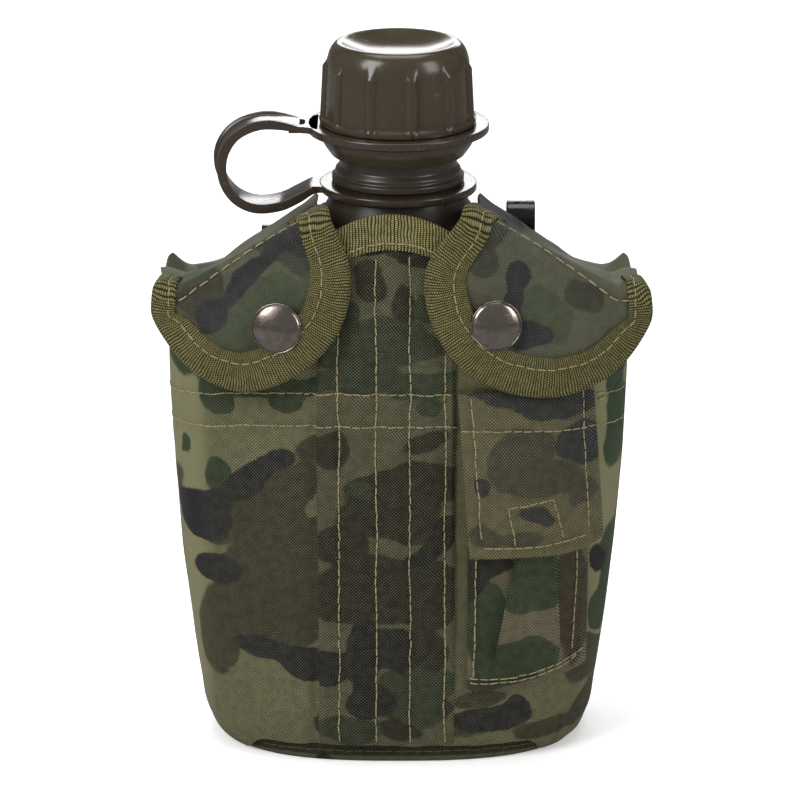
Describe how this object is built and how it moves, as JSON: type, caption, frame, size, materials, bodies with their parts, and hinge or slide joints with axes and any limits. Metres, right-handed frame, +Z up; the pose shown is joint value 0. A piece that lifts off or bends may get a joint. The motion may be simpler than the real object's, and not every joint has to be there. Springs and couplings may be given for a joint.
{
  "type": "field canteen with belt cover",
  "caption": "Kidney-shaped field canteen in a camouflage belt cover with two snap flaps, a small pouch, back clips and a screw cap on a tether.",
  "frame": {"origin": "centre of the neck axis on the flat underside of the cover", "axes": "+Z up along the neck axis; -Y out of the front face with the flaps and the pouch, +Y towards the wearer's hip; +X to the right when looking at the front, the side with the pouch"},
  "size_m": [0.1528, 0.0839, 0.2248],
  "materials": {
    "camouflage_cloth": "coarse plain-weave nylon printed with olive, green, brown and near-black blotches",
    "webbing": "ribbed olive webbing, folded over the cut edges",
    "bottle_plastic": "satin moulded polyethylene, dark olive-brown",
    "gasket_rubber": "soft sealing disc",
    "snap_steel": "gunmetal plated, polished dome",
    "snap_inner": "plated, dull",
    "clip_steel": "gloss black enamel",
    "eyelet_brass": "blackened",
    "loop_tape": "soft loop pile",
    "hook_tape": "stiff hook pile"
  },
  "bodies": {
    "cover": {"bottle": "bottle_plastic", "bottle_neck": "bottle_plastic", "front_panel": "camouflage_cloth", "back_panel": "camouflage_cloth", "side_gusset_left": "camouflage_cloth", "side_gusset_right": "camouflage_cloth", "base_panel": "camouflage_cloth", "drain_eyelet": "eyelet_brass", "front_strip": "camouflage_cloth", "collar_binding": "webbing", "flap_shoulder_left": "camouflage_cloth", "flap_shoulder_right": "camouflage_cloth", "snap_stud_left": "snap_inner", "snap_stud_right": "snap_inner", "snap_post_left": "snap_inner", "snap_post_right": "snap_inner", "pouch": "camouflage_cloth", "pouch_loop_patch": "loop_tape", "pouch_flap_seam": "camouflage_cloth", "back_band_upper": "webbing", "back_band_lower": "webbing", "clip_left": "clip_steel", "clip_right": "clip_steel"},
    "flap_left": {"flap_left": "camouflage_cloth", "flap_binding_left": "webbing", "snap_cap_left": "snap_steel", "snap_socket_left": "snap_inner"},
    "flap_right": {"flap_right": "camouflage_cloth", "flap_binding_right": "webbing", "snap_cap_right": "snap_steel", "snap_socket_right": "snap_inner"},
    "pouch_flap": {"pouch_flap": "camouflage_cloth", "pouch_hook_patch": "hook_tape"},
    "tether": {"tether_neck_ring": "bottle_plastic", "tether_band": "bottle_plastic"},
    "cap_ring": {"tether_cap_ring": "bottle_plastic"},
    "gasket": {"cap_gasket": "gasket_rubber"},
    "cap": {"cap": "bottle_plastic"},
    "clip_slide_left": {"clip_slide_left": "clip_steel"},
    "clip_slide_right": {"clip_slide_right": "clip_steel"}
  },
  "joints": [
    {"name": "flap_left_open", "type": "hinge", "parent": "cover", "child": "flap_left", "pos_m": [-0.046, -0.03011, 0.1642], "axis": [-0.8541, 0.1495, -0.4982], "range_deg": [0, 150]},
    {"name": "flap_right_open", "type": "hinge", "parent": "cover", "child": "flap_right", "pos_m": [0.046, -0.03011, 0.1642], "axis": [-0.8541, -0.1495, 0.4982], "range_deg": [0, 150]},
    {"name": "pouch_flap_open", "type": "hinge", "parent": "cover", "child": "pouch_flap", "pos_m": [0.0399, -0.03986, 0.1135], "axis": [-0.9592, -0.2829, 0], "range_deg": [0, 120]},
    {"name": "tether_swivel", "type": "hinge", "parent": "cover", "child": "tether", "pos_m": [0, 0, 0.1795], "axis": [0, 0, 1], "range_deg": [-192, 12]},
    {"name": "cap_ring_lift", "type": "slide", "parent": "tether", "child": "cap_ring", "axis": [0, 0, 1], "range_m": [0, 0.024], "deforming": ["tether_band"]},
    {"name": "gasket_lift", "type": "slide", "parent": "cover", "child": "gasket", "axis": [0, 0, 1], "range_m": [0, 0.024]},
    {"name": "cap_turn", "type": "hinge", "parent": "gasket", "child": "cap", "pos_m": [0, 0, 0.19], "axis": [0, 0, 1], "range_deg": [0, 1440]},
    {"name": "clip_slide_left", "type": "slide", "parent": "cover", "child": "clip_slide_left", "axis": [0, 0, 1], "range_m": [0, 0.009]},
    {"name": "clip_slide_right", "type": "slide", "parent": "cover", "child": "clip_slide_right", "axis": [0, 0, 1], "range_m": [0, 0.009]}
  ],
  "couplings": [
    {"joint": "gasket_lift", "follows": "cap_turn", "m_per_rad": 0.00095493},
    {"joint": "cap_ring_lift", "follows": "cap_turn", "m_per_rad": 0.00095493}
  ]
}
